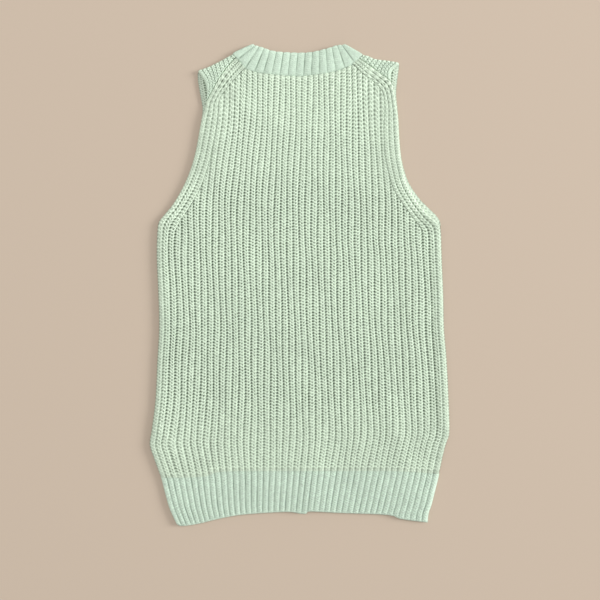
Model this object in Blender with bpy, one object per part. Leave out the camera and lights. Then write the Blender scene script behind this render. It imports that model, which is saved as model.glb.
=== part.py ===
"""Knitted sweater vest with side slits, laid flat with its back uppermost.

The tables are in millimetres and the meshes in metres. X runs across the garment, Y from hem to neck and
Z up from the surface it lies on. The front panel lies on Z = 0 and wraps over both shoulders, the back
panel lies on it, and the neckband is one flattened ring through both. Every piece is a grid of points in
the middle of its cloth, given a wall.
"""

from collections import namedtuple

import bmesh
import bpy
import numpy as np

MM = 0.001

# Driving dimensions, in millimetres.
PANEL_WALL = 3.0
BAND_WALL = 4.0
GAP = 0.3
NECK_SAG, NECK_SAG_REACH = 1.7, 42.0
NECK_SAG_FROM, NECK_SAG_RUN = 292.0, 16.0
BAND_MARGIN = 18.0
FLAP_RISE_RATE = 3.0
SHARP_ANGLE = 0.9

# A side edge is rounded by columns this far in from it, which keep these shares of the wall. The first
# columns keep these shares of the height that a soft ridge gives the cloth.
SIDE_STEPS = (0.9, 3.0, 9.0)
ROLL_WALL = (0.27, 0.7, 1.0, 1.0)
SIDE_LIFT_KEPT = (0.0, 0.2, 0.5)

# Cells along each edge.
FLAP_CELLS, FLAP_ROWS = 4, 3
BACK_NECK_CELLS, FRONT_NECK_CELLS = 20, 14
BACK_CELLS, FRONT_CELLS = 2 * FLAP_CELLS + BACK_NECK_CELLS, 2 * FLAP_CELLS + FRONT_NECK_CELLS
TURN_CELLS = 4

Section = namedtuple("Section", "height back_left back_right front_left front_right")
Point = namedtuple("Point", "x y")
Fold = namedtuple("Fold", "x0 y0 x1 y1 reach lift")
BandRow = namedtuple("BandRow", "rise wall")
Finish = namedtuple("Finish", "colour roughness")

# Cross-sections from the hem seam to the armholes: where each panel's side edges are.
SECTIONS = (
    Section(-254, -215.9, 211.5, -215.9, 211.5),
    Section(-236, -221.4, 216.0, -221.4, 216.0),
    Section(-217, -218.9, 221.4, -218.9, 221.4),
    Section(-171, -213.0, 220.4, -213.0, 220.4),
    Section(-111, -210.0, 217.4, -210.0, 217.4),
    Section(-64, -207.5, 213.5, -207.5, 213.5),
    Section(-16, -208.5, 212.5, -208.5, 212.5),
    Section(43, -211.0, 210.0, -211.0, 210.0),
    Section(79, -210.0, 208.5, -210.0, 208.5),
    Section(92, -208.0, 205.0, -208.0, 207.0),
    Section(102, -201.0, 196.0, -201.0, 201.5),
    Section(113, -191.5, 185.5, -191.5, 191.5),
    Section(126, -182.5, 173.0, -182.5, 178.5),
    Section(150, -169.5, 159.0, -169.5, 162.0),
    Section(174, -160.0, 152.5, -160.0, 153.6),
    Section(197, -153.6, 149.1, -153.6, 149.1),
    Section(221, -149.1, 147.3, -149.1, 147.3),
    Section(245, -144.7, 146.0, -144.7, 146.0),
    Section(262, -142.0, 143.8, -143.4, 144.6),
)
# The front panel reaches further up, to its shoulder folds.
FRONT_SECTIONS = (
    *SECTIONS,
    Section(282, None, None, -146.9, 142.8),
    Section(300, None, None, -149.9, 144.1),
)
# From the hem's corners up the side slits.
SLIT_SECTIONS = (
    Section(-338, -191.5, 190.8, -191.5, 190.8),
    Section(-325, -197.0, 195.2, -197.0, 195.2),
    Section(-301, -203.5, 201.3, -203.5, 201.3),
)
# The hem's lower edge and the line where rib changes to fisherman's rib, from left to right.
HEM_EDGE = (
    Point(-183, -352),
    Point(-172, -356.2),
    Point(-150, -353),
    Point(-115, -344.5),
    Point(-80, -339),
    Point(-20, -335.5),
    Point(2, -338),
    Point(16, -334.5),
    Point(60, -337),
    Point(130, -340),
    Point(150, -346),
    Point(188, -351),
)
HEM_SEAM = (
    Point(-207, -284),
    Point(-180, -284.5),
    Point(-140, -282.5),
    Point(-118, -276),
    Point(-60, -274.5),
    Point(60, -274.5),
    Point(150, -275),
    Point(206, -279),
)
# The back's upper edge: two sloped shoulder seams and the neck seam between them.
LEFT_SHOULDER_SEAM = (
    Point(-137, 286.5),
    Point(-125, 294.5),
    Point(-115, 310),
    Point(-103, 322),
    Point(-88.5, 329.5),
)
RIGHT_SHOULDER_SEAM = (
    Point(88.8, 334.6),
    Point(104.5, 323.5),
    Point(123, 309.4),
    Point(135.5, 300),
)
BACK_NECK_SEAM = (
    Point(-97.7, 339.0),
    Point(-88.5, 329.5),
    Point(-76, 322),
    Point(-44, 313.5),
    Point(0, 310),
    Point(45, 315),
    Point(68, 321.5),
    Point(81, 328),
    Point(88.8, 334.6),
    Point(92.2, 338.0),
)
BACK_NECK_EDGE = (
    Point(-66.6, 353.1),
    Point(-54, 351.5),
    Point(-40, 347),
    Point(-20, 345.6),
    Point(16, 345.8),
    Point(42, 351.5),
    Point(54, 354.5),
    Point(65.0, 353.6),
)
# The shoulder folds, where the front turns over on to the back.
LEFT_FOLD = (
    Point(-150.5, 316.8),
    Point(-131, 325),
    Point(-105, 338.6),
    Point(-99.6, 341),
)
RIGHT_FOLD = (
    Point(93.8, 340.2),
    Point(102, 338.2),
    Point(112, 334),
    Point(134, 331),
    Point(147.6, 328.6),
)
# The front's crew neckline and its neckband's free edge, as deep rounded scoops.
FRONT_SEAM_DEPTH, FRONT_EDGE_DEPTH = 87.0, 68.0
SCOOP_POWER = 2.6

# Rows up the neckband, from its seam to its free edge, where the doubled rib turns over.
BAND_ROWS = (BandRow(0, 0.7), BandRow(0.15, 1), BandRow(0.8, 1), BandRow(0.96, 0.8), BandRow(1, 0.45))

# Where the back panel stands a little off the front, as soft ridges between two points.
FOLDS = (
    Fold(205, 60, 211, -205, 10, 2.4),
    Fold(-204, 70, -211, -215, 9, 1.2),
    Fold(168, 60, 172, -150, 17, 0.9),
    Fold(127, -165, 156, -262, 13, 1.6),
    Fold(12, -225, 22, -338, 20, 1.3),
    Fold(-40, -300, -120, -338, 26, 0.8),
    Fold(-150, 120, -120, 250, 22, 1.0),
    Fold(150, 120, 118, 255, 22, 1.0),
)

FINISHES = {
    "panel": Finish((0.50, 0.62, 0.46, 1.0), 0.95),
    "rib": Finish((0.53, 0.66, 0.52, 1.0), 0.95),
    "band": Finish((0.60, 0.75, 0.59, 1.0), 0.95),
}


def along(points, fractions):
    """Points on a smooth curve through the given ones, at these fractions of its length."""
    points = np.array(points, float)
    padded = np.vstack([2 * points[0] - points[1], points, 2 * points[-1] - points[-2]])
    t = np.linspace(0, 1, 24, endpoint=False)[:, None]
    runs = []
    for a, b, c, d in zip(padded, padded[1:], padded[2:], padded[3:]):
        slope_b, slope_c = (c - a) / 2, (d - b) / 2
        bend = 3 * (c - b) - 2 * slope_b - slope_c
        twist = 2 * (b - c) + slope_b + slope_c
        runs.append(b + slope_b * t + bend * t**2 + twist * t**3)
    return spread(np.vstack([*runs, points[-1:]]), fractions)


def share(curve):
    """How far along the curve each of its points is, from 0 to 1."""
    reached = np.cumsum(np.linalg.norm(np.diff(curve, axis=0), axis=1))
    return np.concatenate([[0], reached / reached[-1]])


def spread(curve, fractions):
    """Points at these fractions of a finely stepped curve's length."""
    return np.stack([np.interp(fractions, share(curve), curve[:, k]) for k in range(2)], axis=1)


def evenly(cells):
    return np.linspace(0, 1, cells + 1)


def left_of(curve):
    """The direction to the left of a curve at each point, longer at a corner so that an offset is even."""
    run = np.diff(curve, axis=0)
    run /= np.linalg.norm(run, axis=1)[:, None]
    left = np.column_stack([-run[:, 1], run[:, 0]])
    before, after = np.vstack([left[:1], left]), np.vstack([left, left[-1:]])
    return (before + after) / (1 + (before * after).sum(axis=1))[:, None]


def beside(curve, distance):
    """The curve moved to the left of its own direction, or to the right by a negative distance."""
    return curve + distance * left_of(curve)


def patch(bottom, top, left, right):
    """A grid between four edges: a blend of each facing pair, less the blend of the four corners."""
    v = ((share(left) + share(right)) / 2)[:, None, None]
    u = ((share(bottom) + share(top)) / 2)[None, :, None]
    upright = (1 - v) * bottom[None] + v * top[None]
    across = (1 - u) * left[:, None] + u * right[:, None]
    low = (1 - u) * bottom[0] + u * bottom[-1]
    high = (1 - u) * top[0] + u * top[-1]
    return upright + across - (1 - v) * low - v * high


def with_roll(grid, left=True, right=True):
    """Adds columns close to a panel's side edges, at SIDE_STEPS in from them, to round those edges."""
    steps = np.array(SIDE_STEPS)[None, :, None]
    if left:
        run = grid[:, 1:2] - grid[:, :1]
        near = grid[:, :1] + steps * run / np.linalg.norm(run, axis=2, keepdims=True)
        grid = np.concatenate([grid[:, :1], near, grid[:, 1:]], axis=1)
    if right:
        grid = with_roll(grid[:, ::-1], right=False)[:, ::-1]
    return grid


def rolled_wall(columns):
    """The half wall on a panel's outer side in each column, thin at both side edges so that they are round."""
    keep = np.ones(columns)
    keep[: len(ROLL_WALL)] = ROLL_WALL
    keep[-len(ROLL_WALL) :] = ROLL_WALL[::-1]
    return PANEL_WALL * (keep - 0.5)


def scoop(left, right, depth, cells):
    """A neckline that hangs from two points: it drops depth x (1 - |s| to the power SCOOP_POWER)."""
    s = np.linspace(-1, 1, 201)
    level = np.outer((1 - s) / 2, left) + np.outer((1 + s) / 2, right)
    drop = depth * (1 - np.abs(s) ** SCOOP_POWER)
    return spread(level - np.outer(drop, (0, 1)), evenly(cells))


def distance_to(fold, x, y):
    run = np.array([fold.x1 - fold.x0, fold.y1 - fold.y0])
    t = np.clip(((x - fold.x0) * run[0] + (y - fold.y0) * run[1]) / (run @ run), 0, 1)
    return np.hypot(x - fold.x0 - t * run[0], y - fold.y0 - t * run[1])


def over_front_band(x, y):
    """1 where the back lies over the front's neckband, easing to 0 outside a scoop BAND_MARGIN wider."""
    start, end = BACK_NECK_SEAM[0], BACK_NECK_SEAM[-1]
    half = (end.x - start.x) / 2 + BAND_MARGIN
    s = np.clip(np.abs(x - (start.x + end.x) / 2) / half, 0, 1)
    scoop_line = start.y - FRONT_SEAM_DEPTH * (1 - s**SCOOP_POWER) - BAND_MARGIN
    return np.clip((y - scoop_line + BAND_MARGIN) / BAND_MARGIN, 0, 1)


def neck_dip(x):
    """How far the back hangs into the front's neck opening, most at the middle."""
    return NECK_SAG * np.cos(np.pi / 2 * np.clip(x / NECK_SAG_REACH, -1, 1)) ** 2


def top_layer_rise(grid):
    """How much higher than the flat front the top layer lies: over the front's neckband, along each soft
    ridge, and less where it hangs into the neck opening."""
    x, y = grid[..., 0], grid[..., 1]
    rise = (BAND_WALL - PANEL_WALL) * over_front_band(x, y)
    for fold in FOLDS:
        rise = rise + fold.lift * np.exp(-((distance_to(fold, x, y) / fold.reach) ** 2))
    return rise - neck_dip(x) * np.clip((y - NECK_SAG_FROM) / NECK_SAG_RUN, 0, 1)


def back_underside(grid):
    """How high the back's underside lies, down on the front at both side edges."""
    rise = top_layer_rise(grid)
    for column, kept in enumerate(SIDE_LIFT_KEPT):
        rise[:, column] *= kept
        rise[:, -1 - column] *= kept
    return PANEL_WALL + GAP + rise


def on_floor(grid):
    return np.zeros(grid.shape[:2])


def material(finish):
    if finish in bpy.data.materials:
        return bpy.data.materials[finish]
    made = bpy.data.materials.new(finish)
    made.use_nodes = True
    shader = made.node_tree.nodes["Principled BSDF"]
    shader.inputs["Base Color"].default_value = FINISHES[finish].colour
    shader.inputs["Roughness"].default_value = FINISHES[finish].roughness
    shader.inputs["Metallic"].default_value = 0.0
    return made


def cloth(name, finish, middle, facing, outer, inner, present=None, ring=False):
    """A closed wall on a grid of points in the middle of the cloth: an outer surface towards facing, an
    inner one away from it, and a rim along every open edge."""
    rows, columns = middle.shape[:2]
    present = np.ones((rows, columns), bool) if present is None else present
    number = np.cumsum(present).reshape(rows, columns) - 1
    total = int(present.sum())
    sides = (middle + facing * outer[..., None], middle - facing * inner[..., None])
    points = np.vstack([side[present] for side in sides]) * MM
    quads = []
    for r in range(rows - 1):
        for c in range(columns if ring else columns - 1):
            after = (c + 1) % columns
            corners = ((r, c), (r, after), (r + 1, after), (r + 1, c))
            if all(present[k] for k in corners):
                quads.append([int(number[k]) for k in corners])
    edges = {(q[k - 1], q[k]) for q in quads for k in range(4)}
    rim = [[b, a, a + total, b + total] for a, b in sorted(edges) if (b, a) not in edges]
    inside = [[v + total for v in reversed(q)] for q in quads]
    mesh = bpy.data.meshes.new(name)
    mesh.from_pydata(points.tolist(), [], quads + inside + rim)
    made = bmesh.new()
    made.from_mesh(mesh)
    bmesh.ops.triangulate(made, faces=made.faces[:])
    bmesh.ops.recalc_face_normals(made, faces=made.faces[:])
    made.to_mesh(mesh)
    made.free()
    mesh.shade_smooth()
    mesh.set_sharp_from_angle(angle=SHARP_ANGLE)
    mesh.materials.append(material(finish))
    bpy.context.collection.objects.link(bpy.data.objects.new(name, mesh))


def side_edge(sections, side, first, last):
    """One side of a panel, from its lower corner through the sections to its upper corner."""
    return np.array([first, *[(getattr(s, side), s.height) for s in sections], last], float)


def hem_rib(name, panel, cells, underside, facing_z):
    """A rib hem, from its lower edge up to the hem seam, tapering in down both slits."""
    top = beside(along(HEM_SEAM, evenly(cells)), -GAP / 2)
    bottom = along(HEM_EDGE, evenly(cells))
    left = side_edge(SLIT_SECTIONS, f"{panel}_left", bottom[0], top[0])
    right = side_edge(SLIT_SECTIONS, f"{panel}_right", bottom[-1], top[-1])
    flat_panel(name, "rib", with_roll(patch(bottom, top, left, right)), underside, facing_z)


def flat_panel(name, finish, grid, underside, facing_z):
    """A panel that lies flat on underside, its side edges rounded above or below, as facing_z says."""
    middle = np.dstack([grid, underside(grid) + PANEL_WALL / 2])
    facing = np.zeros_like(middle)
    facing[..., 2] = facing_z
    half = np.full(grid.shape[:2], PANEL_WALL / 2)
    outer = np.broadcast_to(rolled_wall(grid.shape[1]), grid.shape[:2])
    cloth(name, finish, middle, facing, outer, half)


def neck_shares():
    """Where the two shoulder seams reach the back neck seam, as shares of its length."""
    fine = along(BACK_NECK_SEAM, evenly(400))
    ends = (LEFT_SHOULDER_SEAM[-1], RIGHT_SHOULDER_SEAM[0])
    return [float(np.argmin(np.linalg.norm(fine - end, axis=1))) / 400 for end in ends]


def back_panel():
    neck = along(BACK_NECK_SEAM, np.linspace(*neck_shares(), BACK_NECK_CELLS + 1))
    slopes = [along(seam, evenly(FLAP_CELLS)) for seam in (LEFT_SHOULDER_SEAM, RIGHT_SHOULDER_SEAM)]
    top = beside(np.vstack([slopes[0][:-1], neck, slopes[1][1:]]), -GAP / 2)
    bottom = beside(along(HEM_SEAM, evenly(BACK_CELLS)), GAP / 2)
    left = side_edge(SECTIONS, "back_left", bottom[0], top[0])
    right = side_edge(SECTIONS, "back_right", bottom[-1], top[-1])
    grid = with_roll(patch(bottom, top, left, right))
    flat_panel("back_panel", "panel", grid, back_underside, facing_z=1)


def turn_over(centre, outward, low, high):
    """Rows of points and facings that carry cloth round a fold, from height low up to height high."""
    outward = np.broadcast_to(outward, centre.shape)
    points, facings = [], []
    for turn in np.pi * (evenly(TURN_CELLS) - 0.5):
        facings.append(np.column_stack([np.cos(turn) * outward, np.full(len(centre), np.sin(turn))]))
        level = np.column_stack([centre, np.full(len(centre), (low + high) / 2)])
        points.append(level + (high - low) / 2 * facings[-1])
    return np.array(points), np.array(facings)


def shoulder_flap(fold, seam, neck_side, high):
    """The front's cloth round one shoulder fold and down to the back's shoulder seam. neck_side is the
    stretch of neck seam that the flap meets, and the flap's points run from left to right."""
    low = PANEL_WALL / 2
    outward = left_of(fold)
    centre = fold - ((high - low) / 2 + PANEL_WALL / 2) * outward
    points, facings = turn_over(centre, outward, low, high)
    far = beside(seam, GAP / 2)
    share_down = evenly(FLAP_ROWS)[1:, None, None]
    flap = (1 - share_down) * centre[None] + share_down * far[None]
    column = -1 if fold[0][0] < 0 else 0
    flap[:, column] = neck_side[1:]
    flap[-1, column] += GAP / 2 * left_of(seam)[column]
    level = high + top_layer_rise(flap) * np.minimum(1, FLAP_RISE_RATE * share_down[..., 0])
    up = np.broadcast_to((0.0, 0.0, 1.0), (*flap.shape[:2], 3))
    return np.concatenate([points, np.dstack([flap, level])]), np.concatenate([facings, up])


def front_panel():
    """The front: body rows, then on each shoulder the rows round the fold and those of the flap."""
    high = PANEL_WALL + GAP + PANEL_WALL / 2
    start, stop = neck_shares()
    near_left = beside(along(BACK_NECK_SEAM, start * evenly(FLAP_ROWS)), -GAP / 2)
    near_right = beside(along(BACK_NECK_SEAM, stop + (1 - stop) * evenly(FLAP_ROWS)), -GAP / 2)[::-1]
    seams = [along(seam, evenly(FLAP_CELLS)) for seam in (LEFT_SHOULDER_SEAM, RIGHT_SHOULDER_SEAM)]
    folds = [along(fold, evenly(FLAP_CELLS)) for fold in (LEFT_FOLD, RIGHT_FOLD)]
    left_points, left_facings = shoulder_flap(folds[0], seams[0], near_left, high)
    right_points, right_facings = shoulder_flap(folds[1], seams[1], near_right, high)

    neck = scoop(BACK_NECK_SEAM[0], BACK_NECK_SEAM[-1], FRONT_SEAM_DEPTH, FRONT_NECK_CELLS)
    neck = beside(neck, -GAP / 2)[1:-1]
    top = np.vstack([left_points[0, :, :2], neck, right_points[0, :, :2]])
    bottom = beside(along(HEM_SEAM, evenly(FRONT_CELLS)), GAP / 2)
    left = side_edge(FRONT_SECTIONS, "front_left", bottom[0], top[0])
    right = side_edge(FRONT_SECTIONS, "front_right", bottom[-1], top[-1])
    body = with_roll(patch(bottom, top, left, right))

    rows, columns = body.shape[:2]
    middle = np.zeros((rows + TURN_CELLS + FLAP_ROWS, columns, 3))
    middle[:rows] = np.dstack([body, np.full((rows, columns), PANEL_WALL / 2)])
    facing = np.zeros_like(middle)
    facing[:rows, :, 2] = -1
    present = np.zeros(middle.shape[:2], bool)
    present[:rows] = True
    width = FLAP_CELLS + 1 + len(SIDE_STEPS)
    blocks = (
        (slice(0, width), left_points, left_facings, True),
        (slice(columns - width, columns), right_points, right_facings, False),
    )
    for where, points, facings, on_left in blocks:
        middle[rows:, where] = with_roll(points, left=on_left, right=not on_left)[1:]
        pad = ((0, 0), (len(SIDE_STEPS), 0) if on_left else (0, len(SIDE_STEPS)), (0, 0))
        facing[rows:, where] = np.pad(facings, pad, mode="edge")[1:]
        present[rows:, where] = True
    half = np.full(present.shape, PANEL_WALL / 2)
    outer = np.broadcast_to(rolled_wall(columns), present.shape)
    cloth("front_panel", "panel", middle, facing, outer, half, present)


def neckband():
    """One ring: the back half on top, round the right fold, the front half below, round the left fold."""
    start, stop = neck_shares()
    shares = np.concatenate(
        [
            start * evenly(FLAP_ROWS)[:-1],
            np.linspace(start, stop, BACK_NECK_CELLS + 1),
            (stop + (1 - stop) * evenly(FLAP_ROWS))[1:],
        ]
    )
    back_seam = beside(along(BACK_NECK_SEAM, shares), GAP / 2)
    back_edge = along(BACK_NECK_EDGE, shares)
    front_seam = scoop(BACK_NECK_SEAM[0], BACK_NECK_SEAM[-1], FRONT_SEAM_DEPTH, FRONT_NECK_CELLS)
    front_seam = beside(front_seam, GAP / 2)
    front_edge = scoop(BACK_NECK_EDGE[0], BACK_NECK_EDGE[-1], FRONT_EDGE_DEPTH, FRONT_NECK_CELLS)
    rise = np.array([row.rise for row in BAND_ROWS])[:, None, None]
    back = (1 - rise) * back_seam[None] + rise * back_edge[None]
    front = (1 - rise) * front_seam[None] + rise * front_edge[None]
    low, high = BAND_WALL / 2, BAND_WALL + GAP + BAND_WALL / 2

    back_points = np.dstack([back, high - neck_dip(back[..., 0])])
    front_points = np.dstack([front, np.full(front.shape[:2], low)])[:, ::-1]
    up, down = np.zeros_like(back_points), np.zeros_like(front_points)
    up[..., 2], down[..., 2] = 1, -1
    right_points, right_facings = turn_over(back[:, -1], -left_of(back[:, -1]), low, high)
    left_points, left_facings = turn_over(back[:, 0], left_of(back[:, 0]), low, high)
    right_points, right_facings = (a[::-1][1:-1].swapaxes(0, 1) for a in (right_points, right_facings))
    left_points, left_facings = (a[1:-1].swapaxes(0, 1) for a in (left_points, left_facings))
    middle = np.concatenate([back_points, right_points, front_points, left_points], axis=1)
    facing = np.concatenate([up, right_facings, down, left_facings], axis=1)
    kept = np.array([row.wall for row in BAND_ROWS])[:, None]
    half = np.broadcast_to(kept * BAND_WALL / 2, middle.shape[:2])
    cloth("neckband", "band", middle, facing, half, half, ring=True)


for stale in list(bpy.data.objects):
    bpy.data.objects.remove(stale)
front_panel()
back_panel()
hem_rib("front_hem_rib", "front", FRONT_CELLS, on_floor, facing_z=-1)
hem_rib("back_hem_rib", "back", BACK_CELLS, back_underside, facing_z=1)
neckband()
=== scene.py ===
from collections import namedtuple

import bpy
import numpy as np
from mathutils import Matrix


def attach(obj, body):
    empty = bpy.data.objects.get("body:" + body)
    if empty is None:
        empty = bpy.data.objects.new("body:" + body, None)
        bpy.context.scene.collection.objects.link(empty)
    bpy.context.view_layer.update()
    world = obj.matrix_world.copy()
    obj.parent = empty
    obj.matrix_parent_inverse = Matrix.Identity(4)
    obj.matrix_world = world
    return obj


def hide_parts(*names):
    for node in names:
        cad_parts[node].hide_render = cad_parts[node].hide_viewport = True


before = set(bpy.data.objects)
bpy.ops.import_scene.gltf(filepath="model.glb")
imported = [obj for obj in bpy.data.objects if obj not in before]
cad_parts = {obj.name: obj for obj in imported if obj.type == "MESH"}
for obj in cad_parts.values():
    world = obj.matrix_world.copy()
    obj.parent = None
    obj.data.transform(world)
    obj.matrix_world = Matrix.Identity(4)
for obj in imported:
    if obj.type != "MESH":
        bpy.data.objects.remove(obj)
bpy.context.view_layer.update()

# ---- Back panel -------------------------------------------------------------------------------------
# The back lies uppermost: one fully fashioned panel of chunky fisherman's rib, knitted from the hem seam
# up. Its outer three ribs run on round both armholes and along the shoulder seams, and the ribs inside
# them end one by one on the decrease lines.

MM = 0.001
RIBS = 46
BORDER_RIBS = 3
COURSE = 4.43
SLANT = 0.62
KNIT_HEIGHT = 3.5
MIDDLE_DIP, GROOVE_DEPTH = 0.13, 0.62
STITCH_SPREAD = 0.05
PANEL_WALL = 3.0
GAP = 0.3

Point = namedtuple("Point", "x y")
Guide = namedtuple("Guide", "height left middle right")
Station = namedtuple("Station", "edge_x edge_y inner_x inner_y")
Fold = namedtuple("Fold", "x0 y0 x1 y1 reach lift")

# Where the first, middle and last ribs would run at each height if none ended at the armholes.
RIB_GUIDES = (
    Guide(-356, -180.5, -6.0, 189.0),
    Guide(-338, -189.0, -5.0, 190.8),
    Guide(-325, -194.0, -4.0, 195.2),
    Guide(-301, -200.5, -1.6, 201.3),
    Guide(-284, -205.0, 0.2, 205.5),
    Guide(-254, -215.9, 3.0, 211.5),
    Guide(-236, -221.4, 4.6, 216.0),
    Guide(-217, -218.9, 5.2, 221.4),
    Guide(-171, -213.0, 4.6, 220.4),
    Guide(-111, -210.0, 3.5, 217.4),
    Guide(-64, -207.5, 2.2, 213.5),
    Guide(-16, -208.5, 1.0, 212.5),
    Guide(43, -211.0, 0.0, 210.0),
    Guide(64, -210.5, -0.7, 208.5),
    Guide(123, -210.0, -0.7, 207.5),
    Guide(182, -200.3, 0.8, 200.5),
    Guide(242, -188.4, 3.0, 194.4),
    Guide(310, -184.0, 3.7, 191.4),
    Guide(360, -184.0, 3.7, 191.4),
)
HEM_SEAM = (
    Point(-205, -284),
    Point(-180, -284.5),
    Point(-140, -282.5),
    Point(-118, -276),
    Point(-60, -274.5),
    Point(60, -274.5),
    Point(150, -275),
    Point(206, -279),
)
BACK_NECK_SEAM = (
    Point(-97.7, 339.0),
    Point(-87.5, 328.5),
    Point(-80, 319),
    Point(-69, 314.5),
    Point(-44, 310.5),
    Point(0, 308),
    Point(45, 313),
    Point(68, 320),
    Point(81, 327),
    Point(88.8, 334.6),
    Point(92.2, 338.0),
)
# The back's side edge, armhole and shoulder seam from the hem up, each place with the point on the inner
# side of the three border ribs that the same course reaches.
BACK_LEFT = (
    Station(-205, -284, -179.5, -284.5),
    Station(-215.9, -254, -188.6, -254),
    Station(-221.4, -236, -193, -236),
    Station(-218.9, -217, -190.5, -217),
    Station(-213, -171, -185.6, -171),
    Station(-210, -111, -183, -111),
    Station(-207.5, -64, -180.5, -64),
    Station(-208.5, -16, -181.5, -16),
    Station(-211, 43, -184, 43),
    Station(-210, 79, -182.8, 74),
    Station(-208, 92, -179.5, 84),
    Station(-201, 102, -174.5, 95),
    Station(-191.5, 113, -168, 104),
    Station(-182.5, 126, -160.5, 116),
    Station(-169.5, 150, -147.5, 139),
    Station(-160, 174, -137.5, 164),
    Station(-153.6, 197, -130, 190),
    Station(-149.1, 221, -124.5, 217),
    Station(-144.7, 245, -120.5, 243),
    Station(-140.5, 259, -119.8, 257),
    Station(-137.5, 271, -119.6, 266),
    Station(-129.4, 286, -115, 278),
    Station(-119.5, 304, -105.5, 291),
    Station(-110.6, 317, -97, 301),
    Station(-102, 327.5, -89, 309.5),
    Station(-94.5, 335.5, -79.5, 319.3),
)
BACK_RIGHT = (
    Station(206, -279, 180, -277),
    Station(211.5, -254, 184.5, -254),
    Station(216, -236, 188.5, -236),
    Station(221.4, -217, 193, -217),
    Station(220.4, -171, 192.5, -171),
    Station(217.4, -111, 190, -111),
    Station(213.5, -64, 186.5, -64),
    Station(212.5, -16, 185.5, -16),
    Station(210, 43, 183, 43),
    Station(208.5, 79, 181.5, 74),
    Station(203.5, 91, 177.5, 84),
    Station(192, 101, 170, 93.5),
    Station(181, 114, 162, 104),
    Station(171.5, 127, 153, 116),
    Station(159, 150, 138.5, 139),
    Station(152.5, 174, 131, 165),
    Station(149.1, 197, 126.5, 191),
    Station(147.3, 221, 124.5, 218),
    Station(146, 245, 124.5, 243),
    Station(143.8, 262, 125.5, 260),
    Station(139.5, 288, 123, 281),
    Station(134.3, 300.5, 116.5, 291),
    Station(123, 309.4, 107.5, 300),
    Station(104.5, 323.5, 93, 310.5),
    Station(88.8, 334.6, 77.5, 326.2),
)
# Soft ridges where the back stands a little off the front, between two points.
FOLDS = (
    Fold(188, 107, 205, 88, 10, 4.4),
    Fold(208, 60, 212, -205, 9, 2.9),
    Fold(-204, 70, -211, -215, 9, 1.2),
    Fold(168, 60, 172, -150, 17, 0.9),
    Fold(127, -165, 156, -262, 13, 1.6),
    Fold(12, -225, 22, -338, 20, 1.3),
    Fold(-40, -300, -120, -338, 26, 0.8),
    Fold(-150, 120, -120, 250, 22, 1.0),
    Fold(150, 120, 118, 255, 22, 1.0),
)
FRONT_SEAM_DEPTH = 87.0
SCOOP_POWER = 2.6
BAND_STEP, BAND_MARGIN = 1.0, 18.0
NECK_SAG, NECK_SAG_REACH = 1.7, 42.0
NECK_SAG_FROM, NECK_SAG_RUN = 292.0, 16.0


def through(points, steps):
    """A smooth curve through the points with equal steps between each two: every stretch is the cubic
    that leaves and reaches its ends along half the run between their neighbours."""
    points = np.array(points, float)
    padded = np.vstack([2 * points[0] - points[1], points, 2 * points[-1] - points[-2]])
    a, b, c, d = (padded[k : len(padded) - 3 + k, None] for k in range(4))
    t = np.linspace(0, 1, steps, endpoint=False)[None, :, None]
    slope_b, slope_c = (c - a) / 2, (d - b) / 2
    bend = 3 * (c - b) - 2 * slope_b - slope_c
    twist = 2 * (b - c) + slope_b + slope_c
    stretch = b + slope_b * t + bend * t**2 + twist * t**3
    return np.vstack([stretch.reshape(-1, points.shape[1]), points[-1:]])


def level_of(points, x):
    """How high a curve that runs from left to right is at x."""
    fine = through(points, 24)
    return np.interp(x, fine[:, 0], fine[:, 1])


def rib_place(rib, y):
    """Where a rib is across the panel: the share rib / RIBS of the way between the outer guides, moved by
    4 f (1 - f) times what the middle guide is off their middle."""
    guides = through(RIB_GUIDES, 12)
    left, middle, right = (np.interp(y, guides[:, 0], guides[:, k]) for k in (1, 2, 3))
    f = rib / RIBS
    return left + (right - left) * f + 4 * f * (1 - f) * (middle - (left + right) / 2)


def eased(x):
    """0 below 0 and 1 above 1, with the cubic 3 x^2 - 2 x^3 between them."""
    x = np.clip(x, 0, 1)
    return x * x * (3 - 2 * x)


def off_line(fold, x, y):
    """How far a point is from the stretch between a fold's two ends."""
    run = np.array([fold.x1 - fold.x0, fold.y1 - fold.y0])
    t = np.clip(((x - fold.x0) * run[0] + (y - fold.y0) * run[1]) / (run @ run), 0, 1)
    return np.hypot(x - fold.x0 - t * run[0], y - fold.y0 - t * run[1])


def over_front_band(x, y):
    """1 where the top layer lies on the front's neckband, easing to 0 outside a scoop a little wider."""
    start, end = BACK_NECK_SEAM[0], BACK_NECK_SEAM[-1]
    half = (end.x - start.x) / 2 + BAND_MARGIN
    s = np.clip(np.abs(x - (start.x + end.x) / 2) / half, 0, 1)
    line = start.y - FRONT_SEAM_DEPTH * (1 - s**SCOOP_POWER) - BAND_MARGIN
    return np.clip((y - line + BAND_MARGIN) / BAND_MARGIN, 0, 1)


def neck_dip(x):
    """How far the back hangs into the front's neck opening: a squared cosine about the middle."""
    return NECK_SAG * np.cos(np.pi / 2 * np.clip(x / NECK_SAG_REACH, -1, 1)) ** 2


def top_layer_rise(x, y):
    """How much higher than the flat front the top layer lies: a step over the front's neckband, a bell
    across each soft ridge, less the dip into the neck opening."""
    rise = BAND_STEP * over_front_band(x, y)
    for fold in FOLDS:
        rise = rise + fold.lift * np.exp(-((off_line(fold, x, y) / fold.reach) ** 2))
    return rise - neck_dip(x) * np.clip((y - NECK_SAG_FROM) / NECK_SAG_RUN, 0, 1)


def each_stitch(rib, row, spread, seed):
    """A steady value from -spread to spread for every stitch."""
    table = np.random.default_rng(seed).uniform(-spread, spread, (97, 211))
    return table[np.floor(rib).astype(int) % 97, np.floor(row).astype(int) % 211]


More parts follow.
